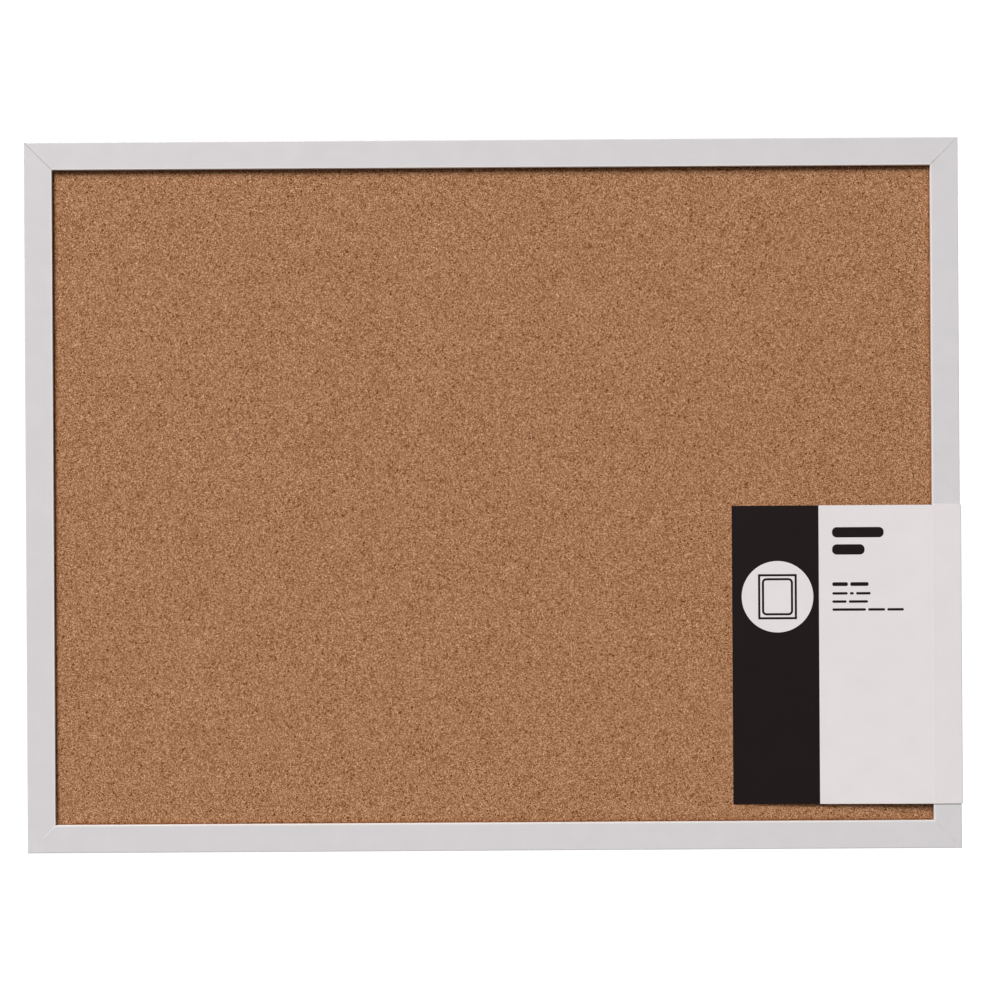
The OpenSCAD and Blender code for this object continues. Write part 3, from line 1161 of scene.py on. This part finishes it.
def make_ring(side, x):
    """Wire: middle line + r * (cos a * across + sin a * out of the plane)."""
    path = d_path(x)
    travel = np.roll(path, -1, 0) - np.roll(path, 1, 0)
    travel /= np.linalg.norm(travel, axis=1)[:, None]
    a = np.linspace(0, 2 * math.pi, WIRE_SIDES, endpoint=False)
    side_step = WIRE_R * np.cos(a)[None, :]
    points = np.stack([
        path[:, :1] - travel[:, 1:] * side_step,
        np.repeat(hinge_y + WIRE_R * np.sin(a)[None, :], len(path), 0),
        path[:, 1:] + travel[:, :1] * side_step,
    ], -1)
    faces = grid_cells(len(path), WIRE_SIDES, wrap_rows=True, wrap_columns=True)
    return make_piece(
        f"ring_wire_{side}", points, faces, f"ring_{side}", [f"hanger_ring_{side}"]
    )


rings = [make_ring("left", -strap_x), make_ring("right", strap_x)]
print("rings:", [len(r.data.polygons) for r in rings])

# %% [markdown]
# ## Metal finishes
# Zinc plate is pale and a little blotchy, nickel wire is brighter and smoother, and both carry
# fine rubbing marks. Metal looks like what it mirrors, so roughness matters more than tone.

# %% Plate the metal


def plated(name, tint, low, high, grain):
    """Plated steel: blotches in tone and roughness, fine marks in the bump."""
    finish = Finish(name, low, metallic=1.0)
    blotch = finish.noise(grain, 4.0, 0.65)
    marks = finish.noise(6000.0, 2.0)
    finish.colour(finish.ramp(blotch, [(0.3, *shade(tint, 0.88)), (0.7, *shade(tint, 1.08))]))
    finish.roughen(blotch, low, high)
    finish.bump(marks, 0.01 * MM, 0.4)
    return finish


STRAP_ZINC = (0.66, 0.66, 0.65)
WIRE_NICKEL = (0.72, 0.70, 0.67)
SCREW_ZINC = (0.60, 0.60, 0.59)
screws = [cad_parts[f"hanger_screw_{side}"] for side in ("left", "right")]
coat(straps, plated("zinc_strap", STRAP_ZINC, low=0.30, high=0.50, grain=700.0))
coat(rings, plated("nickel_wire", WIRE_NICKEL, low=0.16, high=0.30, grain=900.0))
coat(screws, plated("zinc_screw", SCREW_ZINC, low=0.28, high=0.42, grain=1200.0))
print("plated:", [piece.name for piece in [*straps, *rings, *screws]])

# %% [markdown]
# ## Bumpers, panel and keys
# The bumpers are milky rubber. The back of the panel is hardboard, brown and fibrous, with the
# print of the wire screen it was pressed on. The fibre core and the moulded corner keys are
# inside, where only a cut or a gap would show them, and they get their finish all the same. These
# shapes are right as the frame has them, so only their material changes.

# %% Mix the rubber and the hardboard


def bumper_rubber():
    """Milky rubber: even, slightly soft to light, with a fine moulded tooth."""
    finish = Finish("milky_rubber", 0.55, specular=0.4)
    cloud = finish.noise(300.0, 3.0)
    finish.colour(finish.ramp(cloud, [(0.3, 0.66, 0.66, 0.63), (0.7, 0.72, 0.72, 0.69)]))
    finish.roughen(cloud, 0.5, 0.65)
    finish.bump(finish.noise(4000.0), 0.01 * MM, 0.5)
    return finish


def hardboard():
    """Pressed fibres: two scales of brown, and a screen print of crossed waves."""
    finish = Finish("hardboard_back", 0.8, specular=0.2)
    fibres = finish.noise(900.0, 5.0, 0.7)
    clouds = finish.noise(40.0, 5.0, 0.65)
    tone = finish.mix(fibres, clouds, 0.75)
    finish.colour(finish.ramp(tone, [
        (0.25, 0.125, 0.066, 0.034), (0.5, 0.215, 0.125, 0.070), (0.75, 0.325, 0.205, 0.125),
    ]))
    threads = [
        finish.add(
            "ShaderNodeTexWave", {"Vector": finish.place},
            {"wave_type": "BANDS", "bands_direction": direction}, Scale=110.0, Distortion=0.6,
        ).outputs["Fac"]
        for direction in ("X", "Z")
    ]
    screen = finish.math("MULTIPLY", *threads)
    finish.bump(finish.math("MULTIPLY_ADD", fibres, 0.8, screen), 0.12 * MM, 0.6)
    finish.roughen(fibres, 0.7, 0.9)
    return finish


def at_corners(name):
    """The four CAD nodes of this name, one at each corner."""
    places = [f"{level}_{side}" for level in ("top", "bottom") for side in ("left", "right")]
    return [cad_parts[f"{name}_{place}"] for place in places]


bumpers = at_corners("wall_bumper")
coat(bumpers, bumper_rubber())
coat([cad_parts["back_sheet"]], hardboard())
print("rubber on:", [bumper.name for bumper in bumpers])

# %% Mix the core and the keys


def core_fibre():
    """Soft grey-brown fibreboard."""
    finish = Finish("core_fibre", 0.9, specular=0.1)
    fibres = finish.noise(1200.0, 5.0, 0.7)
    finish.colour(finish.ramp(fibres, [(0.3, 0.20, 0.15, 0.11), (0.7, 0.34, 0.27, 0.20)]))
    finish.bump(fibres, 0.1 * MM, 0.6)
    return finish


def key_plastic():
    """Grey moulded plastic with a fine spark-eroded tooth."""
    finish = Finish("key_plastic", 0.5)
    tooth = finish.noise(2500.0, 2.0)
    finish.colour(finish.ramp(tooth, [(0.3, 0.095, 0.10, 0.11), (0.7, 0.115, 0.12, 0.13)]))
    finish.bump(tooth, 0.02 * MM, 0.5)
    return finish


keys = at_corners("corner_key")
coat([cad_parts["fibre_core"]], core_fibre())
coat(keys, key_plastic())
print("finished CAD nodes:", len(bumpers) + len(keys) + len(screws) + 2)
